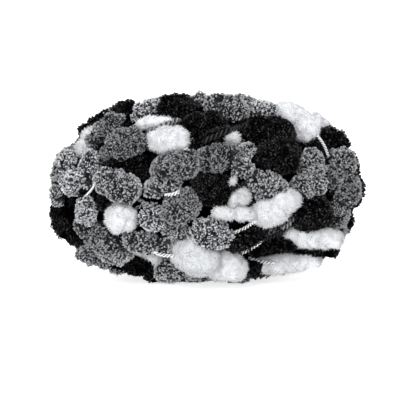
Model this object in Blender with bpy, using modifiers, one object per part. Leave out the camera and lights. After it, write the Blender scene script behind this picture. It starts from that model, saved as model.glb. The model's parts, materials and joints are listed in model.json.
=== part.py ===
"""Ball of pompom yarn: one closed solid of the wound form.

The yarn is a thin binder thread with plush puffs strung on it, wound round and
round into an oval ball. The solid is the packed core, the puffs of the inner
winding that show in the gaps, every puff of the outer winding standing proud of
them, and a flat spot underneath where the soft puffs carry the ball. Threads
and pile are too fine for the solid.

Metres, +Z up. X runs along the ball and -Y faces the side whose puffs were
placed one by one. The origin lies under the middle of the ball, on the surface
that it rests on.
"""

import math
from typing import List, NamedTuple

import bmesh
import bpy
from mathutils import Matrix, Vector

MM = 0.001

# The wound ball
HALF_LENGTH = 0.100       # middle to either end, over the puffs
RADIUS = 0.0605           # round section at the middle, over the puffs
LENGTH_POWER = 2.15       # 2 would be an ellipse, higher is blunter at the ends
INNER_INSET = 0.0110      # tops of the inner winding below those of the outer
CORE_INSET = 0.0175       # packed core below the tops of the outer winding
REST_SINK = 0.0018        # how far the soft underside gives under the ball's weight

# The puffs
DEPTH_SHARE = 0.92        # a puff's thickness over its width
END_LOBE_SIZE = 0.80      # radius of the lobe at each end over the half width
END_LOBE_SIDE = 0.22      # how far the lobe swings to one side
LOBE_DEPTH = 0.92         # its thickness over the puff's
REST_PRESS = 0.72         # height of a carrying puff's middle over its half depth

# The side that was placed by eye, seen from slightly above
VIEW_RISE = math.radians(9.0)

# The puffs of the other sides follow the winding
WOUND_PLACES = 1500       # places tried, on a spiral round the ball
GOLDEN_TURN = math.pi * (3.0 - math.sqrt(5.0))
WOUND_HALF_LONG = 0.0145
WOUND_HALF_WIDE = 0.0104
WOUND_SCALES = (1.0, 0.70)  # full puffs first, then small ones in the gaps left
WOUND_SLANT = math.radians(34.0)
SEEN_EDGE = 0.30          # a puff facing the viewer more than this is in a table
CLEARANCE = 1.62          # middles stay this far apart, in half sizes
NOTCHES = ((-80, 27),)    # where the outline of the view steps in, in millimetres
NOTCH_REACH = 0.010       # puffs near the rim stay this far from a notch
NOTCH_FACING = -0.60      # a puff facing away more than this is behind the rim

# The inner winding, which shows between the outer puffs
INNER_PLACES = 900
INNER_CLEARANCE = 1.45

# Mesh of the finished solid
VOXEL = 0.0019
TRIANGLES = 9600


class Puff(NamedTuple):
    """One puff of the side that shows, in millimetres and degrees.

    across and up place its middle in the view, from the middle of the ball.
    long and wide are half sizes, turn is the angle of the long one above the
    horizontal, and lift raises the puff out of the winding.
    """

    across: float
    up: float
    long: float
    wide: float
    turn: float
    lift: float


CROWN = (
    Puff(-69.5, 40.5, 13, 5.5, 38, -2),
    Puff(-62, 46, 8, 4, 33, -8),
    Puff(-52, 47.5, 9.5, 8, 40, 0),
    Puff(-37, 47.5, 10, 8, 20, -1),
    Puff(-16, 47.5, 15, 10, -4, 1),
    Puff(2, 53, 11, 5.5, 12, -5),
    Puff(14, 49, 15, 9.5, -4, 2),
    Puff(37, 47, 11.5, 8.5, -14, -1),
    Puff(55, 43, 14, 10, -32, 2),
    Puff(62, 36, 10, 9.5, 60, 1),
    Puff(72, 40, 8, 6, -50, -4),
    Puff(79.5, 29.5, 11, 8.3, -30, 1),
)

UPPER = (
    Puff(-71, 29.5, 13.5, 9, 44, -2),
    Puff(-64, 35.5, 14.5, 7.8, 38, 1),
    Puff(-50.5, 26.5, 14.5, 11, 20, 4),
    Puff(-33, 40, 12, 5.5, 0, -3),
    Puff(-23.3, 29.5, 13, 9.8, 3, 3),
    Puff(-2, 38, 15, 10, 8, -2),
    Puff(3, 31, 14, 5, 30, 0),
    Puff(16, 31, 6, 5, -10, 0),
    Puff(41, 34, 17, 11, -4, 3),
    Puff(44, 19, 15, 12, 5, 4),
    Puff(65, 13.5, 10.5, 9.5, 90, 2),
    Puff(68, 24, 10, 8, -42, -6),
    Puff(84.5, 16, 10, 9, -20, 1),
    Puff(88, 16.5, 10.5, 7.5, -58, -3),
)

MIDDLE = (
    Puff(-86.5, 16, 7.5, 8.5, 30, 0),
    Puff(-74, 11, 12, 7, 72, -3),
    Puff(-84, 2.5, 8, 8, 30, 1),
    Puff(-93, -1, 10, 5.5, 85, -1),
    Puff(-73, 0, 9, 7, 60, -7),
    Puff(-46, 14, 15, 9, -14, -5),
    Puff(-54, 1, 16, 10, -14, 4),
    Puff(-19, 13, 16, 9, 4, 2),
    Puff(7, 18.5, 15, 9, 8, 3),
    Puff(24, 22.5, 6.5, 6, 0, -1),
    Puff(22.5, 12, 7, 6.5, 0, 0),
    Puff(4.5, -1, 15, 10.5, -8, 0),
    Puff(16.5, 4, 3, 2.6, 70, 2),
    Puff(-28, 1, 12, 7, 3, -3),
    Puff(38, 1, 13, 9, -4, 2),
    Puff(62, 1, 12, 9, 8, 0),
    Puff(78, 6, 9, 8, 90, -6),
    Puff(89.5, 0, 11, 8.5, 90, 0),
)

LOWER = (
    Puff(-91, -17.5, 12, 8, 90, 0),
    Puff(-82, -30, 13, 8, -35, 0),
    Puff(-75, -15, 10, 8, 90, 0),
    Puff(-68, -30, 16, 9, -50, 2),
    Puff(-62, -9, 7, 6, 0, -6),
    Puff(-53.3, -19, 10.6, 10.3, 0, 3),
    Puff(-34, -19, 9, 8, 90, -1),
    Puff(-15, -11, 13, 11, 20, 1),
    Puff(-19, -26, 10, 7, -15, -4),
    Puff(3, -28, 13, 11, -25, 3),
    Puff(17, -16, 14.5, 5.5, -4, 1),
    Puff(20, -6.5, 8, 6.5, 30, 0),
    Puff(43, -12, 16.5, 10.5, 36, 4),
    Puff(66, -15, 14, 12, 40, 3),
    Puff(83, -15.5, 11, 7.5, 90, 0),
    Puff(88, -16.5, 9.5, 5.5, 85, -3),
    Puff(67, -30.7, 19, 8, -3, 4),
)

FOOT = (
    Puff(-69.5, -41.5, 13, 8.5, -22, 0),
    Puff(-59, -48.5, 9, 5, -22, -1),
    Puff(-36, -34.5, 15, 8, -14, 1),
    Puff(-39, -39.5, 12, 5, -30, -2),
    Puff(-46, -46, 16, 9.5, -8, 0),
    Puff(-23.5, -51.5, 9.5, 8.5, 0, 1),
    Puff(-7, -42, 16, 14, -30, 9),
    Puff(12, -48, 14, 11.5, -12, 7),
    Puff(-10, -55, 11, 7, 0, -3),
    Puff(24, -32, 13, 7, 28, 0),
    Puff(41, -36, 15.5, 6, 5, -4),
    Puff(67, -39, 15, 5, 0, 0),
    Puff(31, -49, 12, 8, 5, -3),
    Puff(51, -46.5, 21, 8, 10, 2),
)


class RestPuff(NamedTuple):
    """One puff that carries the ball: its place underneath and its turn."""

    across: float
    back: float
    turn: float


RESTS = (
    RestPuff(-4, -3, 14),
    RestPuff(15, -7, -24),
    RestPuff(27, 15, 24),
    RestPuff(-26, -5, 28),
    RestPuff(-26, 15, -20),
    RestPuff(1, 21, -6),
)

RIGHT = Vector((1.0, 0.0, 0.0))
VIEW_UP = Vector((0.0, math.sin(VIEW_RISE), math.cos(VIEW_RISE)))
TO_VIEWER = Vector((0.0, -math.cos(VIEW_RISE), math.sin(VIEW_RISE)))


class Shape(NamedTuple):
    """One puff in space: its middle, its three directions and half sizes."""

    middle: Vector
    along: Vector
    aside: Vector
    out: Vector
    half_long: float
    half_wide: float
    half_deep: float


def ball_radius(across: float, inset: float) -> float:
    """Radius of the ball's round section at a place along it, drawn in by inset."""
    share = min(abs(across) / (HALF_LENGTH - inset), 1.0)
    return (RADIUS - inset) * (1.0 - share ** LENGTH_POWER) ** (1.0 / LENGTH_POWER)


def seen_shape(puff: Puff) -> Shape:
    """Set a puff of the view onto the ball, facing the viewer."""
    long, wide = puff.long * MM, puff.wide * MM
    deep = wide * DEPTH_SHARE
    across, up = puff.across * MM, puff.up * MM
    radius = ball_radius(across, deep - puff.lift * MM)
    toward = math.sqrt(max(radius ** 2 - up ** 2, 0.0))
    turn = math.radians(puff.turn)
    along = RIGHT * math.cos(turn) + VIEW_UP * math.sin(turn)
    middle = RIGHT * across + VIEW_UP * up + TO_VIEWER * toward
    return Shape(middle, along, TO_VIEWER.cross(along), TO_VIEWER, long, wide, deep)


def wound_shape(across: float, around: float, turn: float, scale: float, inset: float) -> Shape:
    """Lay a puff of the winding on the ball.

    around is the angle about the ball's length, from +Y toward +Z, turn is the
    long direction's angle from the ball's length in the surface, and inset is
    how far the puff's top lies below the ball's surface.
    """
    long, wide = WOUND_HALF_LONG * scale, WOUND_HALF_WIDE * scale
    deep = wide * DEPTH_SHARE
    radius = ball_radius(across, deep + inset)
    out = Vector((0.0, math.cos(around), math.sin(around)))
    middle = RIGHT * across + out * radius
    step = 0.002 if across < 0.0 else -0.002
    fall = (ball_radius(across + step, deep + inset) - radius) / step
    slope = (RIGHT + out * fall).normalized()
    out = (out - slope * out.dot(slope)).normalized()
    side = out.cross(slope)
    along = slope * math.cos(turn) + side * math.sin(turn)
    return Shape(middle, along, out.cross(along), out, long, wide, deep)


def rest_shape(rest: RestPuff) -> Shape:
    """Lay one of the carrying puffs on the underside, pressed onto the surface."""
    deep = WOUND_HALF_WIDE * DEPTH_SHARE
    height = REST_SINK - RADIUS + REST_PRESS * deep
    middle = Vector((rest.across * MM, rest.back * MM, height))
    turn = math.radians(rest.turn)
    along = Vector((math.cos(turn), math.sin(turn), 0.0))
    out = Vector((0.0, 0.0, -1.0))
    return Shape(middle, along, out.cross(along), out, WOUND_HALF_LONG, WOUND_HALF_WIDE, deep)


def spacing(shape: Shape, other: Shape) -> float:
    """Distance between two puffs' middles, in their mean half sizes."""
    offset = other.middle - shape.middle
    lengths = []
    for one in (shape, other):
        lengths.append(math.hypot(offset.dot(one.along) / one.half_long,
                                  offset.dot(one.aside) / one.half_wide,
                                  offset.dot(one.out) / one.half_deep))
    return sum(lengths) / 2.0


def in_notch(shape: Shape) -> bool:
    """Tell whether a puff would fill a place where the view's outline steps in."""
    up = shape.middle.dot(VIEW_UP)
    near = any(math.hypot(shape.middle.x - across * MM, up - height * MM) < NOTCH_REACH
               for across, height in NOTCHES)
    return near and shape.out.dot(TO_VIEWER) > NOTCH_FACING


def inner_shapes() -> List[Shape]:
    """Puffs of the inner winding, on a spiral round the ball."""
    shapes = []
    reach = HALF_LENGTH - INNER_INSET - WOUND_HALF_WIDE * DEPTH_SHARE
    for place in range(INNER_PLACES):
        across = reach * (1.0 - (2.0 * place + 1.0) / INNER_PLACES)
        slant = -WOUND_SLANT if len(shapes) % 2 else WOUND_SLANT
        shape = wound_shape(across, place * GOLDEN_TURN, slant, 1.0, INNER_INSET)
        if not shapes or min(spacing(shape, other) for other in shapes) > INNER_CLEARANCE:
            shapes.append(shape)
    return shapes


def outer_shapes() -> List[Shape]:
    """Puffs of the view, then those underneath, then the rest of the winding."""
    shapes = [seen_shape(p) for p in CROWN + UPPER + MIDDLE + LOWER + FOOT]
    shapes += [rest_shape(rest) for rest in RESTS]
    reach = HALF_LENGTH - WOUND_HALF_WIDE * DEPTH_SHARE
    for index in range(WOUND_PLACES * len(WOUND_SCALES)):
        place = index % WOUND_PLACES
        across = reach * (1.0 - (2.0 * place + 1.0) / WOUND_PLACES)
        slant = WOUND_SLANT if len(shapes) % 3 else -WOUND_SLANT
        scale = WOUND_SCALES[index // WOUND_PLACES]
        shape = wound_shape(across, place * GOLDEN_TURN, slant, scale, 0.0)
        seen = shape.out.dot(TO_VIEWER) > SEEN_EDGE or in_notch(shape)
        if not seen and min(spacing(shape, other) for other in shapes) > CLEARANCE:
            shapes.append(shape)
    return shapes


def add_ball(bm: bmesh.types.BMesh, middle: Vector, axes: Matrix, sizes: Vector) -> None:
    """Add a round body with the given directions and half sizes."""
    place = Matrix.Translation(middle) @ axes.to_4x4() @ Matrix.Diagonal(sizes).to_4x4()
    bmesh.ops.create_icosphere(bm, subdivisions=3, radius=1.0, matrix=place)


def add_puff(bm: bmesh.types.BMesh, shape: Shape, swing: float) -> None:
    """Add a puff: an oval body with a lobe toward each end of its long side."""
    axes = Matrix((shape.along, shape.aside, shape.out)).transposed()
    sizes = Vector((shape.half_long, shape.half_wide, shape.half_deep))
    add_ball(bm, shape.middle, axes, sizes)
    lobe = shape.half_wide * END_LOBE_SIZE
    for end in (-1.0, 1.0):
        place = shape.along * (end * (shape.half_long - lobe))
        place += shape.aside * (swing * end * END_LOBE_SIDE * shape.half_wide)
        lobe_sizes = Vector((lobe, lobe, shape.half_deep * LOBE_DEPTH))
        add_ball(bm, shape.middle + place, axes, lobe_sizes)


def add_core(bm: bmesh.types.BMesh) -> None:
    """Add the packed core, a sphere reshaped to the ball's section."""
    made = bmesh.ops.create_uvsphere(bm, u_segments=64, v_segments=48, radius=1.0)
    for vert in made["verts"]:
        unit = vert.co.copy()
        across = unit.z * (HALF_LENGTH - CORE_INSET)
        ring = math.hypot(unit.x, unit.y)
        radius = ball_radius(across, CORE_INSET)
        scale = radius / ring if ring > 1e-6 else 0.0
        vert.co = Vector((across, unit.x * scale, unit.y * scale))


def plush_material() -> bpy.types.Material:
    """Mid grey plush, the shade that most of the ball shows."""
    material = bpy.data.materials.new("plush_yarn")
    material.use_nodes = True
    shader = material.node_tree.nodes["Principled BSDF"]
    shader.inputs["Base Color"].default_value = (0.16, 0.165, 0.175, 1.0)
    shader.inputs["Roughness"].default_value = 0.95
    shader.inputs["Metallic"].default_value = 0.0
    return material


def merged_mesh(rough: bpy.types.Object) -> bpy.types.Mesh:
    """One skin over the overlapping bodies, thinned to the triangle budget."""
    skin = rough.modifiers.new("skin", "REMESH")
    skin.mode = "VOXEL"
    skin.voxel_size = VOXEL
    skin.adaptivity = 0.0
    depsgraph = bpy.context.evaluated_depsgraph_get()
    dense = bpy.data.meshes.new_from_object(rough.evaluated_get(depsgraph))
    triangles = sum(len(face.vertices) - 2 for face in dense.polygons)
    bpy.data.meshes.remove(dense)
    thin = rough.modifiers.new("thin", "DECIMATE")
    thin.decimate_type = "COLLAPSE"
    thin.ratio = TRIANGLES / triangles
    depsgraph = bpy.context.evaluated_depsgraph_get()
    return bpy.data.meshes.new_from_object(rough.evaluated_get(depsgraph))


def keep_outer_skin(bm: bmesh.types.BMesh) -> None:
    """Drop the skins of sealed pockets, so that they count as packed yarn."""
    left = set(bm.verts)
    skins = []
    while left:
        seed = left.pop()
        skin, edge = {seed}, [seed]
        while edge:
            vert = edge.pop()
            for link in vert.link_edges:
                other = link.other_vert(vert)
                if other not in skin:
                    skin.add(other)
                    edge.append(other)
        left -= skin
        skins.append(skin)
    skins.sort(key=len, reverse=True)
    pockets = [vert for skin in skins[1:] for vert in skin]
    bmesh.ops.delete(bm, geom=pockets, context="VERTS")


def press_flat(bm: bmesh.types.BMesh, height: float) -> None:
    """Cut the body level at a height and close the flat spots."""
    everything = bm.verts[:] + bm.edges[:] + bm.faces[:]
    bmesh.ops.bisect_plane(bm, geom=everything, dist=1e-6, plane_co=(0.0, 0.0, height),
                           plane_no=(0.0, 0.0, 1.0), clear_inner=True)
    rim = [edge for edge in bm.edges if edge.is_boundary]
    bmesh.ops.holes_fill(bm, edges=rim, sides=0)
    bmesh.ops.triangulate(bm, faces=[face for face in bm.faces if len(face.verts) > 3])


def build() -> bpy.types.Object:
    """Make the wound ball as one closed mesh object.

    Returns:
        The finished object, in a collection named for the yarn ball.
    """
    for thing in list(bpy.data.objects):
        bpy.data.objects.remove(thing, do_unlink=True)
    parts = bpy.data.collections.new("pompom_yarn_ball")
    bpy.context.scene.collection.children.link(parts)

    bm = bmesh.new()
    add_core(bm)
    for index, shape in enumerate(outer_shapes() + inner_shapes()):
        add_puff(bm, shape, 1.0 if index % 2 else -1.0)
    rough_mesh = bpy.data.meshes.new("rough_ball")
    bm.to_mesh(rough_mesh)
    bm.free()
    rough = bpy.data.objects.new("rough_ball", rough_mesh)
    parts.objects.link(rough)
    merged = merged_mesh(rough)
    bpy.data.objects.remove(rough, do_unlink=True)

    floor = REST_SINK - RADIUS
    bm = bmesh.new()
    bm.from_mesh(merged)
    keep_outer_skin(bm)
    press_flat(bm, floor)
    bmesh.ops.translate(bm, verts=bm.verts[:], vec=(0.0, 0.0, -floor))
    spans = [[vert.co[axis] for vert in bm.verts] for axis in (0, 1)]
    centre = [(max(span) + min(span)) / 2.0 for span in spans]
    bmesh.ops.translate(bm, verts=bm.verts[:], vec=(-centre[0], -centre[1], 0.0))
    bmesh.ops.recalc_face_normals(bm, faces=bm.faces[:])
    bm.to_mesh(merged)
    bm.free()
    merged.name = "wound_ball"
    merged.materials.clear()
    merged.materials.append(plush_material())
    merged.shade_smooth()
    ball = bpy.data.objects.new("wound_ball", merged)
    parts.objects.link(ball)
    return ball


if __name__ == "__main__":
    build()
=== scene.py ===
"""Looks of the ball of pompom yarn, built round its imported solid.

The solid is one lumpy form. Here every puff of the outer winding is a plush
surface of its own, with the inner winding under it, the twisted binder thread
between puffs, and a short pile on what shows.
"""

import json
import logging
import math
from dataclasses import dataclass, field, replace
from enum import Enum
from typing import Dict, Iterable, Iterator, List, Mapping, NamedTuple, Optional, Sequence
from typing import Tuple, Union

import bpy
import numpy as np
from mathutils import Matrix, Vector

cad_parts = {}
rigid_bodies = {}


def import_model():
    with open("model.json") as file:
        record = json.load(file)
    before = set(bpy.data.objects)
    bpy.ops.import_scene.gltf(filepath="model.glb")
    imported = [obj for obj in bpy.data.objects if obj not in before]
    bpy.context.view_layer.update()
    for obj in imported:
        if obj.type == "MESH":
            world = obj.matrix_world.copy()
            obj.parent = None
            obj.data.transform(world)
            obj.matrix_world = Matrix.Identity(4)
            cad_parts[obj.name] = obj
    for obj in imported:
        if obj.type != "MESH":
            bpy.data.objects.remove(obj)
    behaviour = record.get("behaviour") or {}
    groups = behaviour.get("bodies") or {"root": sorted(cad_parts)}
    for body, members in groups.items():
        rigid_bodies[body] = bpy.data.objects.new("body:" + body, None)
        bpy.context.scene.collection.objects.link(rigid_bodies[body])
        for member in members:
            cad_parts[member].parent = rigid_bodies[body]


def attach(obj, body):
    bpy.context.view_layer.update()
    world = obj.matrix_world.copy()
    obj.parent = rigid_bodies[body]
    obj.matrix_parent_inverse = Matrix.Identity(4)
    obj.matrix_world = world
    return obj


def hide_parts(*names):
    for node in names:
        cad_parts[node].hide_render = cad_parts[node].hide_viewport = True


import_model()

LOG = logging.getLogger("pompom_ball")

MM = 0.001

# The wound ball, as in its solid
HALF_LENGTH = 0.100
RADIUS = 0.0605
LENGTH_POWER = 2.15
REST_SINK = 0.0018
SOLID_SHIFT = (-0.000551, 0.000371)   # the solid was centred on its own box
DEPTH_SHARE = 0.92
END_LOBE_SIZE = 0.80
END_LOBE_SIDE = 0.22
REST_PRESS = 0.72
WOUND_PLACES = 1500
GOLDEN_TURN = math.pi * (3.0 - math.sqrt(5.0))
WOUND_HALF_LONG = 0.0145
WOUND_HALF_WIDE = 0.0104
WOUND_SCALES = (1.0, 0.70)
WOUND_SLANT = math.radians(34.0)
SEEN_EDGE = 0.30            # puffs that face the viewer more than this are measured ones
CLEARANCE = 1.62
NOTCHES = ((-80, 27),)      # places in the view where the outline steps in, in millimetres
NOTCH_REACH = 0.010
NOTCH_FACING = -0.60
FLOOR_GAP = 0.0002          # the pile underneath ends this far above the floor
VIEW_RISE = math.radians(9.0)

RIGHT = np.array((1.0, 0.0, 0.0))
VIEW_UP = np.array((0.0, math.sin(VIEW_RISE), math.cos(VIEW_RISE)))
TO_VIEWER = np.array((0.0, -math.cos(VIEW_RISE), math.sin(VIEW_RISE)))

# The inner winding, which shows between the puffs
INNER_INSET = 0.0110
INNER_PLACES = 900
INNER_CLEARANCE = 1.45

# Where pile grows. A facing is the share of a direction that points straight out of the ball.
NEIGHBOURHOOD = 0.045       # puffs whose middles are further apart than this don't meet
PILE_REACH = 0.0165         # deepest root below the ball's surface
PILE_FACING = -0.25         # least facing on the outer winding
BURIED = 0.0006             # deepest root in a neighbouring puff
REST_GAP = 0.0006           # least height of a root above what the ball rests on
INNER_FACING = 0.20         # least facing on the inner winding
WAY_OUT = (0.001, 0.030, 0.004)   # start, end and step of the places tried on the way out
OUT_OF_REACH = 9.0          # stands for a distance with no puff near by

# How the form of a puff is worked out
BLEND_POWER = 14            # the higher it is, the sharper the creases between the lobes
BLEND_LEVEL = 0.985         # takes back what the blend adds to the size
WAVES = 5
WAVE_TURNS = 2.6
COLUMN_CROWDING = 0.55      # the grid is closer on the side of a puff that faces out
AREA_POWER = 1.6            # of the usual close rule for the area of an ellipsoid
SPOT_AREA = 0.87            # area of one spot over the square of the spacing
SPOT_SHAKE = 0.55
LEAST_SPOTS = 6
WIDEST = 1.2                # no puff's ground reaches further than this over its half length
DOME_WIDTH = 0.70           # half width of a dome over the spacing
DOME_LEVEL = 0.60           # height on a large dome where it neither lifts nor lowers the ground
GROUND_DROP = 0.30          # how far the drawn ground is lowered, over the small gathers' height
# The drawn ground's openness is the level of its painted shade, darkest between the large domes.
GROUND_OPEN = 0.05          # how open the drawn ground lies between the large domes
DOME_OPEN = 0.19            # and how much more on top of them
# How high a clump stands decides where wisps grow, and also sets the painted shade of its pile:
# darker in the pits and in the creases between the large domes.
CLUMP_FROM = 0.24           # height on a small dome where its clump of pile begins
CLUMP_SPAN = 0.52
PIT_HEIGHT = 0.48           # height of a clump in the creases between the large domes
WISP_SPREAD = 1.15          # spacing of wisps over that of curls
WISP_FROM = 0.30            # wisps stand only on clumps that are higher than this

# Starts of the random draws
INNER_SEED = 500
LOBE_SEED = 900
BEAD_SEED = 1700
CURL_SEED = 3300
FIBRE_SEED = 4100
WISP_SEED = 5200
TONE_SEED = 7000
LOCK_SEED = 8100


class Shade(Enum):
    """The three shades of the yarn."""

    GREY = "grey"
    BLACK = "black"
    WHITE = "white"


G, B, W = Shade.GREY, Shade.BLACK, Shade.WHITE

# Shades along the yarn where the photographed side doesn't settle them
SHADE_RUN = (G, G, B, G, W, G, B, B, G, W, G, G, B, W, G)
# The inner winding has no white and runs mostly black, and a dark tone is used for it: painted
# shade in the gaps between the outer puffs.
INNER_RUN_PAINTED_DARK = (B, G, B, B, G, B, G, B, B)
RIM_FACING = -0.30          # puffs that face the viewer more than this show at the rim


class Puff(NamedTuple):
    """One puff of the side that shows, in millimetres and degrees.

    across and up place its middle in the view, from the middle of the ball.
    long and wide are half sizes, turn is the angle of the long one above the
    horizontal, and lift raises the puff out of the winding. tone runs from 0,
    the darkest of its shade, to 1, the palest.
    """

    across: float
    up: float
    long: float
    wide: float
    turn: float
    lift: float
    shade: Shade
    tone: float = 0.45


CROWN = (
    Puff(-69.5, 40.5, 13, 5.5, 38, -2, B),
    Puff(-62, 46, 8, 4, 33, -8, G, 0.5),
    Puff(-52, 47.5, 9.5, 8, 40, 0, B),
    Puff(-37, 47.5, 10, 8, 20, -1, G, 1),
    Puff(-16, 47.5, 15, 10, -4, 1, B),
    Puff(2, 53, 11, 5.5, 12, -5, G, 0.35),
    Puff(14, 49, 15, 9.5, -4, 2, G, 0.4),
    Puff(37, 47, 11.5, 8.5, -14, -1, G, 0.9),
    Puff(55, 43, 14, 10, -32, 2, W, 0.55),
    Puff(62, 36, 10, 9.5, 60, 1, W, 0.6),
    Puff(72, 40, 8, 6, -50, -4, W, 0.5),
    Puff(79.5, 29.5, 11, 8.3, -30, 1, B),
)

UPPER = (
    Puff(-71, 29.5, 13.5, 9, 44, -2, W, 0.5),
    Puff(-64, 35.5, 14.5, 7.8, 38, 1, G, 0.2),
    Puff(-50.5, 26.5, 14.5, 11, 20, 4, G, 0.15),
    Puff(-33, 40, 12, 5.5, 0, -3, W, 0.65),
    Puff(-23.3, 29.5, 13, 9.8, 3, 3, W, 0.5),
    Puff(-2, 38, 15, 10, 8, -2, B),
    Puff(3, 31, 14, 5, 30, 0, B, 0.55),
    Puff(16, 31, 6, 5, -10, 0, W, 0.4),
    Puff(41, 34, 17, 11, -4, 3, B),
    Puff(44, 19, 15, 12, 5, 4, B),
    Puff(65, 13.5, 10.5, 9.5, 90, 2, G, 0.35),
    Puff(68, 24, 10, 8, -42, -6, B),
    Puff(84.5, 16, 10, 9, -20, 1, G, 0.35),
    Puff(88, 16.5, 10.5, 7.5, -58, -3, B),
)

MIDDLE = (
    Puff(-86.5, 16, 7.5, 8.5, 30, 0, G, 0.85),
    Puff(-74, 11, 12, 7, 72, -3, G, 0.8),
    Puff(-84, 2.5, 8, 8, 30, 1, G, 0.85),
    Puff(-93, -1, 10, 5.5, 85, -1, G, 0.5),
    Puff(-73, 0, 9, 7, 60, -7, B),
    Puff(-46, 14, 15, 9, -14, -5, B),
    Puff(-54, 1, 16, 10, -14, 4, G, 0.45),
    Puff(-19, 13, 16, 9, 4, 2, G, 0.25),
    Puff(7, 18.5, 15, 9, 8, 3, G, 0.1),
    Puff(24, 22.5, 6.5, 6, 0, -1, G, 0.5),
    Puff(22.5, 12, 7, 6.5, 0, 0, G, 0.5),
    Puff(4.5, -1, 15, 10.5, -8, 0, B),
    Puff(16.5, 4, 3, 2.6, 70, 2, W, 0.25),
    Puff(-28, 1, 12, 7, 3, -3, G, 0.5),
    Puff(38, 1, 13, 9, -4, 2, G, 0.45),
    Puff(62, 1, 12, 9, 8, 0, G, 0.45),
    Puff(78, 6, 9, 8, 90, -6, G, 0.2),
    Puff(89.5, 0, 11, 8.5, 90, 0, G, 0.2),
)

LOWER = (
    Puff(-91, -17.5, 12, 8, 90, 0, B),
    Puff(-82, -30, 13, 8, -35, 0, B),
    Puff(-75, -15, 10, 8, 90, 0, G, 0.8),
    Puff(-68, -30, 16, 9, -50, 2, G, 0.3),
    Puff(-62, -9, 7, 6, 0, -6, B),
    Puff(-53.3, -19, 10.6, 10.3, 0, 3, W, 0.55),
    Puff(-34, -19, 9, 8, 90, -1, G, 0.75),
    Puff(-15, -11, 13, 11, 20, 1, G, 0.25),
    Puff(-19, -26, 10, 7, -15, -4, G, 0.5),
    Puff(3, -28, 13, 11, -25, 3, G, 0.75),
    Puff(17, -16, 14.5, 5.5, -4, 1, W, 0.4),
    Puff(20, -6.5, 8, 6.5, 30, 0, W, 0.35),
    Puff(43, -12, 16.5, 10.5, 36, 4, W),
    Puff(66, -15, 14, 12, 40, 3, B),
    Puff(83, -15.5, 11, 7.5, 90, 0, G, 0.25),
    Puff(88, -16.5, 9.5, 5.5, 85, -3, B),
    Puff(67, -30.7, 19, 8, -3, 4, W),
)

FOOT = (
    Puff(-69.5, -41.5, 13, 8.5, -22, 0, G, 0.55),
    Puff(-59, -48.5, 9, 5, -22, -1, G, 0.45),
    Puff(-36, -34.5, 15, 8, -14, 1, G, 0.45),
    Puff(-39, -39.5, 12, 5, -30, -2, W, 0.3),
    Puff(-46, -46, 16, 9.5, -8, 0, B),
    Puff(-23.5, -51.5, 9.5, 8.5, 0, 1, G, 1),
    Puff(-7, -42, 16, 14, -30, 9, W),
    Puff(12, -48, 14, 11.5, -12, 7, W, 0.55),
    Puff(-10, -55, 11, 7, 0, -3, G, 0.15),
    Puff(24, -32, 13, 7, 28, 0, B, 0.55),
    Puff(41, -36, 15.5, 6, 5, -4, B),
    Puff(67, -39, 15, 5, 0, 0, B, 0.5),
    Puff(31, -49, 12, 8, 5, -3, B),
    Puff(51, -46.5, 21, 8, 10, 2, W, 0.55),
)


class RestPuff(NamedTuple):
    """One puff that carries the ball: its place underneath, its turn and shade."""

    across: float
    back: float
    turn: float
    shade: Shade


RESTS = (
    RestPuff(-4, -3, 14, G),
    RestPuff(15, -7, -24, G),
    RestPuff(27, 15, 24, B),
    RestPuff(-26, -5, 28, B),
    RestPuff(-26, 15, -20, W),
    RestPuff(1, 21, -6, G),
)


@dataclass(frozen=True)
class Shape:
    """One puff in space.

    axes holds its long, wide and outward directions as rows, and halves its
    half sizes along them. tone is the puff's place between the darkest and the
    palest of its shade, and measured tells a puff placed from the photograph.
    """

    middle: np.ndarray
    axes: np.ndarray
    halves: np.ndarray
    shade: Shade
    tone: float = 0.5
    measured: bool = False


Places = Union[float, np.ndarray]
Span = Tuple[float, float]
Triple = Tuple[float, float, float]
# How open each point lies is the level of its painted shade.
Part = Tuple[np.ndarray, np.ndarray, np.ndarray]   # points, faces, how open each point lies
Inputs = Mapping[Union[int, str], object]


def unit(vector: np.ndarray) -> np.ndarray:
    """Scale vectors to length one along their last axis."""
    return vector / np.maximum(np.linalg.norm(vector, axis=-1, keepdims=True), 1e-12)


def ball_radius(across: Places, inset: float) -> Places:
    """Radius of the ball's round section at places along it, drawn in by inset."""
    share = np.minimum(np.abs(across) / (HALF_LENGTH - inset), 1.0)
    return (RADIUS - inset) * (1.0 - share ** LENGTH_POWER) ** (1.0 / LENGTH_POWER)


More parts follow.
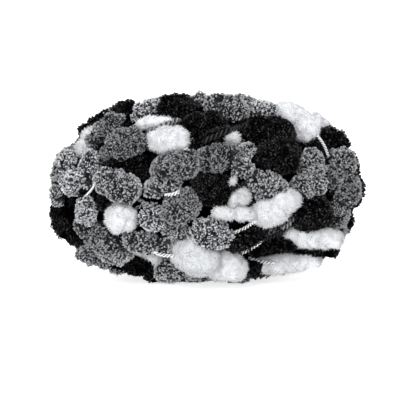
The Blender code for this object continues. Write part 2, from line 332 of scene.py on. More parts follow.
@dataclass
class Winding:
    """The puffs of the ball: those of the photographed side, then the rest."""

    shapes: List[Shape] = field(default_factory=list)
    inner: List[Shape] = field(default_factory=list)

    def seen(self, puff: Puff) -> Shape:
        """Set a puff of the view onto the ball, facing the viewer.

        Args:
            puff: the puff's row in a table.

        Returns:
            Its shape in metres, from the middle of the ball.
        """
        long, wide = puff.long * MM, puff.wide * MM
        deep = wide * DEPTH_SHARE
        across, up = puff.across * MM, puff.up * MM
        radius = ball_radius(across, deep - puff.lift * MM)
        toward = math.sqrt(max(radius ** 2 - up ** 2, 0.0))
        turn = math.radians(puff.turn)
        along = RIGHT * math.cos(turn) + VIEW_UP * math.sin(turn)
        middle = RIGHT * across + VIEW_UP * up + TO_VIEWER * toward
        axes = np.array((along, np.cross(TO_VIEWER, along), TO_VIEWER))
        return Shape(middle, axes, np.array((long, wide, deep)), puff.shade, puff.tone, True)

    def wound(self, across: float, around: float, turn: float, scale: float,
              inset: float, shade: Shade) -> Shape:
        """Lay a puff of the winding on the ball.

        Args:
            across: place along the ball, in metres.
            around: angle about the ball's length, from +Y toward +Z.
            turn: angle of the long direction from the ball's length.
            scale: size over the full puff's.
            inset: how far the layer's surface lies below the ball's.
            shade: the puff's shade.

        Returns:
            The puff's shape.
        """
        long, wide = WOUND_HALF_LONG * scale, WOUND_HALF_WIDE * scale
        deep = wide * DEPTH_SHARE
        radius = ball_radius(across, deep + inset)
        out = np.array((0.0, math.cos(around), math.sin(around)))
        middle = RIGHT * across + out * radius
        step = 0.002 if across < 0.0 else -0.002
        fall = (ball_radius(across + step, deep + inset) - radius) / step
        slope = unit(RIGHT + out * fall)
        out = unit(out - slope * out.dot(slope))
        along = slope * math.cos(turn) + np.cross(out, slope) * math.sin(turn)
        axes = np.array((along, np.cross(out, along), out))
        return Shape(middle, axes, np.array((long, wide, deep)), shade)

    def carrying(self, rest: RestPuff) -> Shape:
        """Lay one of the carrying puffs on the underside, pressed level.

        Args:
            rest: the puff's row in a table.

        Returns:
            Its shape.
        """
        deep = WOUND_HALF_WIDE * DEPTH_SHARE
        height = REST_SINK - RADIUS + REST_PRESS * deep
        middle = np.array((rest.across * MM, rest.back * MM, height))
        turn = math.radians(rest.turn)
        along = np.array((math.cos(turn), math.sin(turn), 0.0))
        out = np.array((0.0, 0.0, -1.0))
        axes = np.array((along, np.cross(out, along), out))
        halves = np.array((WOUND_HALF_LONG, WOUND_HALF_WIDE, deep))
        return Shape(middle, axes, halves, rest.shade)

    @staticmethod
    def in_notch(shape: Shape) -> bool:
        """Tell whether a puff would fill a place where the view's outline steps in.

        Args:
            shape: the puff.

        Returns:
            True where it lies close to such a place and can be seen there.
        """
        up = float(shape.middle @ VIEW_UP)
        near = any(math.hypot(shape.middle[0] - across * MM, up - height * MM) < NOTCH_REACH
                   for across, height in NOTCHES)
        return near and float(shape.axes[2] @ TO_VIEWER) > NOTCH_FACING

    @staticmethod
    def spacing(shape: Shape, others: Sequence[Shape]) -> float:
        """Least distance from one puff's middle to other puffs' middles.

        Args:
            shape: the puff.
            others: the other puffs, at least one.

        Returns:
            The distance over the mean of both puffs' half sizes that way.
        """
        offset = np.array([other.middle for other in others]) - shape.middle
        own = np.linalg.norm((offset @ shape.axes.T) / shape.halves, axis=1)
        axes = np.array([other.axes for other in others])
        halves = np.array([other.halves for other in others])
        theirs = np.linalg.norm(np.einsum("nij,nj->ni", axes, offset) / halves, axis=1)
        return float(((own + theirs) / 2.0).min())

    def least_reach(self, points: np.ndarray) -> np.ndarray:
        """Least distance from points to the outer puffs' middles.

        Args:
            points: points of one puff, from the middle of the ball.

        Returns:
            The distances in the outer puffs' half sizes, below 1 inside one.
        """
        around = points.mean(0)
        least = np.full(len(points), OUT_OF_REACH)
        for other in self.shapes:
            if np.linalg.norm(other.middle - around) < NEIGHBOURHOOD:
                reach = ((points - other.middle) @ other.axes.T) / other.halves
                least = np.minimum(least, np.linalg.norm(reach, axis=1))
        return least

    def open_to_air(self, points: np.ndarray, normals: np.ndarray) -> np.ndarray:
        """Tell which points of an outer puff face the air.

        Args:
            points: points on the puff, from the middle of the ball.
            normals: their outward directions.

        Returns:
            A mask: near the ball's surface, not on the puff's inner side, and
            above the surface that the ball rests on.
        """
        depth = ball_radius(points[:, 0], 0.0) - np.linalg.norm(points[:, 1:], axis=1)
        facing = (normals * self.outward(points)).sum(1)
        above = points[:, 2] > REST_SINK - RADIUS + REST_GAP
        return (depth < PILE_REACH) & (facing > PILE_FACING) & above

    def open_between(self, points: np.ndarray, normals: np.ndarray) -> np.ndarray:
        """Tell which points of the inner winding show between the outer puffs.

        A point shows where it faces outward and the way straight out of the
        ball stays clear of every outer puff.

        Args:
            points: points on a puff, from the middle of the ball.
            normals: their outward directions.

        Returns:
            A mask of the points that show.
        """
        outward = self.outward(points)
        clear = (normals * outward).sum(1) > INNER_FACING
        for step in np.arange(*WAY_OUT):
            clear &= self.least_reach(points + outward * step) > 1.0
        return clear

    @staticmethod
    def outward(points: np.ndarray) -> np.ndarray:
        """Directions straight out of the ball, as on an oval of its sizes."""
        return unit(points * np.array(((RADIUS / HALF_LENGTH) ** 2, 1.0, 1.0)))

    def front_depth(self, across: np.ndarray, up: np.ndarray) -> np.ndarray:
        """How far toward the viewer the winding reaches at places in the view.

        Over its own outline a measured puff reaches its middle's depth plus its
        half depth times the root of 1 - (a / long)^2 - (b / wide)^2. Elsewhere
        it is the inner winding's surface.

        Args:
            across: places across the view, from the middle of the ball.
            up: places up the view.

        Returns:
            The depths toward the viewer, from the middle of the ball.
        """
        deepest = np.sqrt(np.maximum(ball_radius(across, INNER_INSET) ** 2 - up ** 2, 0.0))
        for shape in self.shapes:
            if shape.measured:
                offset = (across[:, None] - shape.middle[0]) * RIGHT
                offset = offset + (up[:, None] - shape.middle @ VIEW_UP) * VIEW_UP
                a = offset @ shape.axes[0] / shape.halves[0]
                b = offset @ shape.axes[1] / shape.halves[1]
                rise = 1.0 - a ** 2 - b ** 2
                reach = shape.middle @ TO_VIEWER + shape.halves[2] * np.sqrt(np.maximum(rise, 0.0))
                deepest = np.maximum(deepest, np.where(rise > 0.0, reach, deepest))
        return deepest

    @staticmethod
    def spiral(places: int, inset: float) -> Iterator[Tuple[float, float]]:
        """Run along a golden spiral from one end of the ball to the other.

        Args:
            places: number of places on it.
            inset: how far the layer's surface lies below the ball's.

        Yields:
            Each place across, in metres, and its angle around.
        """
        reach = HALF_LENGTH - inset - WOUND_HALF_WIDE * DEPTH_SHARE
        for place in range(places):
            yield reach * (1.0 - (2.0 * place + 1.0) / places), place * GOLDEN_TURN

    def fill_outer(self, across: float, around: float, scale: float) -> None:
        """Lay a puff of the other sides on the ball where there is room for it.

        Args:
            across: place along the ball.
            around: angle about the ball's length.
            scale: size over the full puff's.
        """
        slant = WOUND_SLANT if len(self.shapes) % 3 else -WOUND_SLANT
        shade = SHADE_RUN[len(self.shapes) % len(SHADE_RUN)]
        shape = self.wound(across, around, slant, scale, 0.0, shade)
        facing = float(shape.axes[2] @ TO_VIEWER)
        if facing > RIM_FACING and shade is W:
            shape = replace(shape, shade=G)
        seen = facing > SEEN_EDGE or self.in_notch(shape)
        if not seen and self.spacing(shape, self.shapes) > CLEARANCE:
            self.shapes.append(shape)

    def fill_inner(self, across: float, around: float) -> None:
        """Lay a puff of the inner winding where there is room for it.

        Args:
            across: place along the ball.
            around: angle about the ball's length.
        """
        slant = -WOUND_SLANT if len(self.inner) % 2 else WOUND_SLANT
        shade = INNER_RUN_PAINTED_DARK[len(self.inner) % len(INNER_RUN_PAINTED_DARK)]
        shape = self.wound(across, around, slant, 1.0, INNER_INSET, shade)
        if not self.inner or self.spacing(shape, self.inner) > INNER_CLEARANCE:
            self.inner.append(shape)

    def wind(self) -> None:
        """Fill both layers: full puffs first, then small ones in the gaps left."""
        self.shapes = [self.seen(puff) for puff in CROWN + UPPER + MIDDLE + LOWER + FOOT]
        self.shapes += [self.carrying(rest) for rest in RESTS]
        for scale in WOUND_SCALES:
            for across, around in self.spiral(WOUND_PLACES, 0.0):
                self.fill_outer(across, around, scale)
        for across, around in self.spiral(INNER_PLACES, INNER_INSET):
            self.fill_inner(across, around)


class Pile(Enum):
    """How the pile of a shade stands."""

    CURLED = "curled"
    BRUSHED = "brushed"


@dataclass(frozen=True)
class Nap:
    """How the plush of one shade gathers, in metres.

    lobe is the spacing of the large gathers and lobe_rise their height. bead
    and bead_rise are the same for the small gathers of the pile itself. pile
    tells curled locks from brushed fibres, spacing is the distance between
    them, long and thick their own length and half thickness, and sunk how far
    the ground under them lies below the puff's full size. end_lobe is the size
    of a puff's end lobes over its half width, and uneven the height of each of
    the waves in its outline over its own size.
    """

    lobe: float
    lobe_rise: float
    bead: float
    bead_rise: float
    pile: Pile
    spacing: float
    long: float
    thick: float
    sunk: float
    end_lobe: float = END_LOBE_SIZE
    uneven: float = 0.044


NAPS: Dict[Shade, Nap] = {
    G: Nap(0.0068, 0.0026, 0.0028, 0.0012, Pile.CURLED, 0.00142, 0.0020, 0.00056, 0.0012),
    B: Nap(0.0068, 0.0022, 0.0028, 0.0012, Pile.CURLED, 0.00150, 0.0020, 0.00054, 0.0012),
    W: Nap(0.0085, 0.0018, 0.0040, 0.0006, Pile.BRUSHED, 0.00104, 0.0024, 0.00027, 0.0011,
           end_lobe=0.66, uneven=0.026),
}
BACK_COARSENESS = 1.30      # spacing and size of the pile that the photograph doesn't show


def nearest(points: np.ndarray, spots: np.ndarray) -> np.ndarray:
    """Distance from each point to its nearest spot.

    The squared distance is |p|^2 + |s|^2 - 2 p.s, worked out as one table.
    """
    table = (points ** 2).sum(1)[:, None] + (spots ** 2).sum(1)[None, :] - 2.0 * points @ spots.T
    return np.sqrt(np.maximum(table.min(axis=1), 0.0))


def spread_directions(count: int, rng: np.random.Generator) -> np.ndarray:
    """Spread directions evenly over a sphere on a golden spiral, then shake them.

    Args:
        count: number of directions.
        rng: draws the spiral's start and the shake.

    Returns:
        The unit directions.
    """
    place = np.arange(count) + 0.5
    height = 1.0 - 2.0 * place / count
    ring = np.sqrt(1.0 - height ** 2)
    angle = place * GOLDEN_TURN + rng.uniform(0.0, 2.0 * math.pi)
    spots = np.stack((ring * np.cos(angle), ring * np.sin(angle), height), axis=1)
    return unit(spots + rng.normal(0.0, SPOT_SHAKE / math.sqrt(count), spots.shape))


@dataclass
class Plush:
    """The surface of one puff, as a function of two parameters.

    A point lies at the middle plus r(d) times the direction d. d turns with v
    from end to end along the puff and with u around it, and r is a smooth
    greatest of the oval body and its two end lobes, which swing to opposite
    sides on a long puff. A few sine waves make it uneven. Low domes round
    scattered spots are then added along d, as the plush gathers in lobes.
    """

    shape: Shape
    seed: int
    rows: int = 20
    columns: int = 22

    def directions(self) -> np.ndarray:
        """Work out the grid's directions.

        Returns:
            Unit directions in the puff's own axes: a pole, the rows, a pole.
        """
        v = np.linspace(0.0, math.pi, self.rows + 1)[1:-1]
        turn = np.linspace(-math.pi, math.pi, self.columns, endpoint=False)
        u = turn - COLUMN_CROWDING * np.sin(turn)
        v, u = np.meshgrid(v, u, indexing="ij")
        grid = np.stack((np.cos(v), np.sin(v) * np.sin(u), np.sin(v) * np.cos(u)), axis=-1)
        halves = self.shape.halves
        grid = unit(grid.reshape(-1, 3) * halves / halves.max())
        ends = np.array(((1.0, 0.0, 0.0), (-1.0, 0.0, 0.0)))
        return np.concatenate((ends[:1], grid, ends[1:]))

    def body(self, direction: np.ndarray) -> np.ndarray:
        """Distance from the middle to the plain surface along each direction.

        The smooth greatest of lengths a, b and c is the root of a^n + b^n + c^n
        of order n. A direction meets a lobe's ball at along + the root of
        along^2 - |spot|^2 + lobe^2, where along is the spot's part in it.

        Args:
            direction: unit directions in the puff's own axes.

        Returns:
            The distances.
        """
        rng = np.random.default_rng(self.seed)
        long, wide, _ = self.shape.halves
        oval = 1.0 / np.linalg.norm(direction / self.shape.halves, axis=1)
        lobe = wide * NAPS[self.shape.shade].end_lobe
        swing = min(2.0 * (long / wide - 1.0), 1.0) * (1.0 if self.seed % 2 else -1.0)
        reach = oval ** BLEND_POWER
        for end in (-1.0, 1.0):
            spot = np.array((end * (long - lobe), swing * end * END_LOBE_SIDE * wide, 0.0))
            along = direction @ spot
            inside = along ** 2 - spot @ spot + lobe ** 2
            hit = np.where(inside > 0.0, along + np.sqrt(np.maximum(inside, 0.0)), 0.0)
            reach = reach + np.maximum(hit, 0.0) ** BLEND_POWER
        radius = reach ** (1.0 / BLEND_POWER) * BLEND_LEVEL
        waves = rng.normal(0.0, 1.0, (WAVES, 3)) * WAVE_TURNS
        phase = rng.uniform(0.0, 2.0 * math.pi, WAVES)
        uneven = NAPS[self.shape.shade].uneven
        return radius * (1.0 + uneven * np.sin(direction @ waves.T + phase).sum(1))

    def area(self) -> float:
        """Area of the oval body, by the usual close rule for an ellipsoid."""
        halves = self.shape.halves
        pairs = (halves[[0, 0, 1]] * halves[[1, 2, 2]]) ** AREA_POWER
        return 4.0 * math.pi * float(np.mean(pairs) ** (1.0 / AREA_POWER))

    def scattered(self, spacing: float, rng: np.random.Generator) -> np.ndarray:
        """Spread directions so that their points lie evenly all over the puff.

        Args:
            spacing: about how far apart the points lie.
            rng: draws the places.

        Returns:
            The unit directions in the puff's own axes.
        """
        count = max(int(self.area() / (spacing ** 2 * SPOT_AREA)), LEAST_SPOTS)
        halves = self.shape.halves
        return unit(spread_directions(count, rng) * halves / halves.max())

    def domes(self, points: np.ndarray, spacing: float, seed: int) -> np.ndarray:
        """Height of round domes over scattered spots, 0 between them and 1 on top.

        It is 1 - (distance to the nearest spot / half width)^2, and never less than 0.

        Args:
            points: points on the plain surface.
            spacing: distance between the spots.
            seed: start of the draws that place the spots.

        Returns:
            The height at each point.
        """
        spots = self.scattered(spacing, np.random.default_rng(seed))
        near = nearest(points, spots * self.body(spots)[:, None])
        return np.clip(1.0 - (near / (spacing * DOME_WIDTH)) ** 2, 0.0, 1.0)

    def surface(self, direction: np.ndarray) -> Tuple[np.ndarray, np.ndarray, np.ndarray]:
        """Points of the lobed ground along directions, with both sizes of dome there.

        Args:
            direction: unit directions in the puff's own axes.

        Returns:
            The points in those axes, and the heights of the large domes and of
            the small ones. Only the large ones are added to the ground.
        """
        nap = NAPS[self.shape.shade]
        points = direction * self.body(direction)[:, None]
        lobe = self.domes(points, nap.lobe, self.seed + LOBE_SEED)
        bead = self.domes(points, nap.bead, self.seed + BEAD_SEED)
        rise = nap.lobe_rise * (lobe - DOME_LEVEL) - nap.sunk
        return points + direction * rise[:, None], lobe, bead

    def make(self) -> Tuple[np.ndarray, np.ndarray]:
        """Work out the ground of the puff, drawn in a little under its pile.

        Returns:
            The points from the middle of the ball, and for each point how open
            it lies, least between the lobes and most on them. That level paints
            shade on the ground, darkest between the lobes.
        """
        direction = self.directions()
        points, lobe, _ = self.surface(direction)
        points = points - direction * (NAPS[self.shape.shade].bead_rise * GROUND_DROP)
        return self.shape.middle + points @ self.shape.axes, GROUND_OPEN + DOME_OPEN * lobe


def across_to(normal: np.ndarray, rng: np.random.Generator) -> np.ndarray:
    """A random direction at right angles to each normal."""
    other = rng.normal(0.0, 1.0, normal.shape)
    return unit(other - normal * (other * normal).sum(1, keepdims=True))


def tube_faces(rings: int, sides: int) -> np.ndarray:
    """Faces of a closed tube or puff: a tip, rings of corners, and another tip.

    Args:
        rings: number of rings.
        sides: corners of each ring.

    Returns:
        Rows of four corners, with -1 last in a triangle.
    """
    ring = 1 + np.arange(rings)[:, None] * sides + np.arange(sides)[None, :]
    turned = np.roll(ring, -1, axis=1)
    quads = np.stack((ring[:-1], ring[1:], turned[1:], turned[:-1]), axis=-1).reshape(-1, 4)
    none = np.full(sides, -1)
    first = np.stack((np.zeros(sides, int), ring[0], turned[0], none), axis=1)
    last = np.stack((np.full(sides, 1 + rings * sides), turned[-1], ring[-1], none), axis=1)
    return np.concatenate((quads, first, last))


def repeated(faces: np.ndarray, points_each: int, count: int) -> np.ndarray:
    """The same faces for each of many like parts, one after another."""
    moved = faces[None] + points_each * np.arange(count)[:, None, None]
    return np.where(faces[None] < 0, -1, moved).reshape(-1, 4)


@dataclass
class Roots:
    """Where pile grows, one row for each lock or fibre.

    height runs from 0 in the pits between the clumps to 1 on top of them, and
    sets the painted shade of the pile, darker in the pits. along is the direction
    that brushed fibres lean to.
    """

    points: np.ndarray
    normals: np.ndarray
    height: np.ndarray
    along: np.ndarray

    def only(self, kept: np.ndarray) -> "Roots":
        """The roots that a mask keeps."""
        return Roots(self.points[kept], self.normals[kept], self.height[kept], self.along[kept])


RING_TURNS = (0.5 * math.pi, 1.17 * math.pi, 1.83 * math.pi)
CONE_TURNS = (0.0, 2.1, 4.2)
CONE_FACES = np.array(((0, 1, 3, -1), (1, 2, 3, -1), (2, 0, 3, -1), (0, 2, 1, -1)))
CURL_STEPS = (0.0, 0.32, 0.70, 1.0)

# How open the locks lie, which is the level of their painted shade and
# highlight: those that grow in the deepest pits, the most there is, and then
# each point of a lock, over what its root's place gives it
CURL_ROOT_OPEN = 0.06
WISP_ROOT_OPEN = 0.08
MOST_OPEN = 1.1
CURL_OPEN = (0.40, 1.0, 0.60, 0.60, 1.0, 0.60, 0.60, 0.40)
WISP_OPEN = (0.20, 0.90, 0.65, 0.65, 1.0)
FIBRE_OPEN = (0.75, 0.75, 0.75, 1.0)


@dataclass
class Locks:
    """The locks and fibres of one nap, grown on given roots.

    A curl is a short closed tube that arches over the ground: its middle line
    leaves the ground, rises as the sine of its length and comes back. A wisp
    is a straighter and finer one that stands more. A brushed fibre is a slim
    cone, combed outward and a little toward the puff's ends. wisp_root and
    fibre_root are depths below the ground in metres. The other values are
    shares of the nap's own sizes or of a unit direction, and a span holds the
    limits that each lock's own value is drawn between.
    """

    nap: Nap
    rng: np.random.Generator
    coarse: float = 1.0
    curl_sizes: Span = (0.60, 1.30)
    curl_lifts: Span = (-0.3, 0.8)
    curl_sides: Span = (-0.50, 0.50)
    curl_thicks: Span = (0.85, 1.2)
    curl_arch: float = 0.48
    curl_sink: float = 0.28
    curl_taper: float = 0.88
    wisp_sizes: Span = (0.6, 1.25)
    wisp_bends: Span = (-0.25, 0.25)
    wisp_lean: float = 0.80
    wisp_root: float = 0.0008
    wisp_long: float = 0.95
    wisp_thick: float = 0.70
    fibre_thicks: Span = (0.8, 1.3)
    fibre_longs: Span = (0.55, 1.15)
    fibre_comb: float = 0.25
    fibre_lean: float = 0.30
    fibre_root: float = 0.0005
    # Each lock's painted shade level is scaled by a factor drawn between these limits.
    curled_shades: Span = (0.75, 1.30)
    brushed_shades: Span = (0.80, 1.1)

    def drawn(self, span: Span, count: int) -> np.ndarray:
        """A value between two limits for each of a number of locks."""
        return self.rng.uniform(*span, (count, 1))

    @staticmethod
    def ring(middle: np.ndarray, rise: np.ndarray, side: np.ndarray,
             thick: np.ndarray) -> List[np.ndarray]:
        """Three corners round a middle point of each lock, the first on its upper side."""
        return [(middle + thick * (rise * math.sin(turn) + side * math.cos(turn)))[:, None]
                for turn in RING_TURNS]

    def shaded(self, pattern: Sequence[float], base: np.ndarray, shades: Span) -> np.ndarray:
        """How open the points of each lock lie: its pattern times its root's share, shaken."""
        # The level that this gives is the painted shade of each lock's points.
        share = base[:, None] * self.drawn(shades, len(base))
        return np.clip(np.array(pattern)[None] * share, 0.0, MOST_OPEN).ravel()

    def curls(self, roots: Roots) -> Part:
        """Grow curled locks.

        Args:
            roots: where they grow.

        Returns:
            The locks as one part.
        """
        count = len(roots.points)
        size = self.drawn(self.curl_sizes, count) * self.coarse
        lie = across_to(roots.normals, self.rng)
        lie = unit(lie + roots.normals * self.drawn(self.curl_lifts, count))
        side = unit(np.cross(lie, roots.normals))
        rise = unit(np.cross(side, lie))
        curl = self.drawn(self.curl_sides, count)
        line = []
        for step in CURL_STEPS:
            arch = math.sin(math.pi * step)
            climb = self.curl_arch * arch - self.curl_sink
            swerve = lie * (step - 0.5) + rise * climb + side * curl * arch
            line.append(roots.points + size * self.nap.long * swerve)
        thick = self.nap.thick * size * self.drawn(self.curl_thicks, count)
        parts = [line[0][:, None]]
        parts += self.ring(line[1], rise, side, thick)
        parts += self.ring(line[2], rise, side, thick * self.curl_taper)
        parts.append(line[3][:, None])
        points = np.concatenate(parts, axis=1)
        # Painted shade: curls that grow in the pits start darker.
        base = CURL_ROOT_OPEN + (1.0 - CURL_ROOT_OPEN) * roots.height
        open_air = self.shaded(CURL_OPEN, base, self.curled_shades)
        return points.reshape(-1, 3), repeated(tube_faces(2, 3), 8, count), open_air

    def wisps(self, roots: Roots) -> Part:
        """Grow fine standing wisps.

        Args:
            roots: where they grow.

        Returns:
            The wisps as one part.
        """
        nap = self.nap
        count = len(roots.points)
        shake = self.rng.normal(0.0, 1.0, roots.normals.shape)
        lean = unit(roots.normals + self.wisp_lean * shake)
        side = unit(np.cross(lean, roots.normals) + 1e-9)
        rise = np.cross(side, lean)
        size = self.drawn(self.wisp_sizes, count) * self.coarse
        start = roots.points - roots.normals * self.wisp_root
        bend = side * self.drawn(self.wisp_bends, count) * nap.long * size
        middle = start + lean * nap.long * 0.50 * size + bend
        parts = [start[:, None]]
        parts += self.ring(middle, rise, side, self.wisp_thick * nap.thick * size)
        parts.append((start + lean * nap.long * self.wisp_long * size)[:, None])
        points = np.concatenate(parts, axis=1)
        # Painted shade: wisps that grow in the pits start darker.
        base = WISP_ROOT_OPEN + (1.0 - WISP_ROOT_OPEN) * roots.height
        open_air = self.shaded(WISP_OPEN, base, self.curled_shades)
        return points.reshape(-1, 3), repeated(tube_faces(1, 3), 5, count), open_air

    def fibres(self, roots: Roots) -> Part:
        """Grow brushed fibres.

        Args:
            roots: where they grow.

        Returns:
            The fibres as one part.
        """
        nap = self.nap
        count = len(roots.points)
        shake = self.rng.normal(0.0, 1.0, roots.normals.shape)
        lean = unit(roots.normals + self.fibre_comb * roots.along + self.fibre_lean * shake)
        side = unit(np.cross(lean, roots.normals) + 1e-9)
        other = np.cross(lean, side)
        thick = nap.thick * self.drawn(self.fibre_thicks, count) * self.coarse
        start = roots.points - roots.normals * self.fibre_root
        parts = [(start + thick * (side * math.cos(turn) + other * math.sin(turn)))[:, None]
                 for turn in CONE_TURNS]
        parts.append((start + lean * nap.long * self.drawn(self.fibre_longs, count))[:, None])
        points = np.concatenate(parts, axis=1)
        open_air = self.shaded(FIBRE_OPEN, np.ones(count), self.brushed_shades)
        return points.reshape(-1, 3), repeated(CONE_FACES, 4, count), open_air


@dataclass
class PuffPile:
    """The pile on the open side of one puff; own is -1 for an inner puff."""

    plush: Plush
    winding: Winding
    own: int
    coarse: float = 1.0

    def clear_of_others(self, points: np.ndarray) -> np.ndarray:
        """Tell which points of the puff stick out of the ground of every other puff.

        A point does where its distance from the other's middle is more than
        the length of that puff's ground in the same direction, less BURIED.

        Args:
            points: points of the puff, from the middle of the ball.

        Returns:
            A mask of the points that do.
        """
        clear = np.ones(len(points), bool)
        for index, other in enumerate(self.winding.shapes):
            apart = np.linalg.norm(other.middle - self.plush.shape.middle)
            if index != self.own and apart < NEIGHBOURHOOD:
                local = (points - other.middle) @ other.axes.T
                distance = np.linalg.norm(local, axis=1)
                near = clear & (distance < other.halves.max() * WIDEST)
                ground, _, _ = Plush(other, index).surface(unit(local[near]))
                clear[near] = distance[near] > np.linalg.norm(ground, axis=1) - BURIED
        return clear

    def roots(self, spacing: float, seed: int) -> Roots:
        """Find the open places of the puff where pile grows.

        Args:
            spacing: distance between the roots on the measured side.
            seed: start of the draws that place them, over the puff's own.

        Returns:
            The roots that lie open.
        """
        nap = NAPS[self.plush.shape.shade]
        rng = np.random.default_rng(self.plush.seed + seed)
        points, lobe, bead = self.plush.surface(self.plush.scattered(spacing * self.coarse, rng))
        normal = unit(points / self.plush.shape.halves ** 2)
        points = points + normal * (nap.bead_rise * (bead - 0.5))[:, None]
        axes = self.plush.shape.axes
        placed = self.plush.shape.middle + points @ axes
        normal = normal @ axes
        if self.own < 0:
            kept = self.winding.open_between(placed, normal)
        else:
            kept = self.winding.open_to_air(placed, normal)
            kept[kept] = self.clear_of_others(placed[kept])
        # The clumps' height, lower in the creases between the large domes, sets the painted shade
        # of the pile.
        clump = np.clip((bead - CLUMP_FROM) / CLUMP_SPAN, 0.0, 1.0)
        height = clump * (PIT_HEIGHT + (1.0 - PIT_HEIGHT) * lobe)
        return Roots(placed, normal, height, np.sign(points[:, :1]) * axes[0]).only(kept)

    def build(self) -> List[Part]:
        """Grow the pile in the way that the puff's shade wears it.

        Returns:
            One part for each kind of lock that grows there.
        """
        nap = NAPS[self.plush.shape.shade]
        locks = Locks(nap, np.random.default_rng(self.plush.seed + LOCK_SEED), self.coarse)
        if nap.pile is Pile.CURLED:
            standing = self.roots(nap.spacing * WISP_SPREAD, WISP_SEED)
            standing = standing.only(standing.height > WISP_FROM)
            kinds = (locks.curls(self.roots(nap.spacing, CURL_SEED)), locks.wisps(standing))
        else:
            kinds = (locks.fibres(self.roots(nap.spacing, FIBRE_SEED)),)
        return [kind for kind in kinds if len(kind[0])]


class Thread(NamedTuple):
    """A stretch of bare binder thread that shows, in millimetres in the view."""

    across: float
    up: float
    to_across: float
    to_up: float
    shade: Shade
    size: float = 1.0


THREADS = (
    Thread(16, -28.5, 31, -20, W),
    Thread(22, -41, 36, -31.5, W),
    Thread(35, -33, 53, -23, B),
    Thread(26.5, -44, 43, -47, W),
    Thread(-33, -40, -20.5, -42.5, W),
    Thread(-15, 24.5, -7, 21, W),
    Thread(69, 33, 76.5, 19, W, 0.8),
    Thread(-69, 4, -76.5, -6, W, 0.75),
    Thread(-42, -7.5, -26, -15.5, G, 1.2),
    Thread(-44, -12.5, -38.5, -9, G),
    Thread(-26, -4.5, -17, -2.3, W),
    Thread(-37, 34, -17, 42.5, G, 1.4),
    Thread(-2, 28.5, 27, 39.5, B, 1.4),
    Thread(18, -0.5, 33, 11, B, 1.2),
    Thread(47, -25.5, 54, -19, G, 1.2),
)


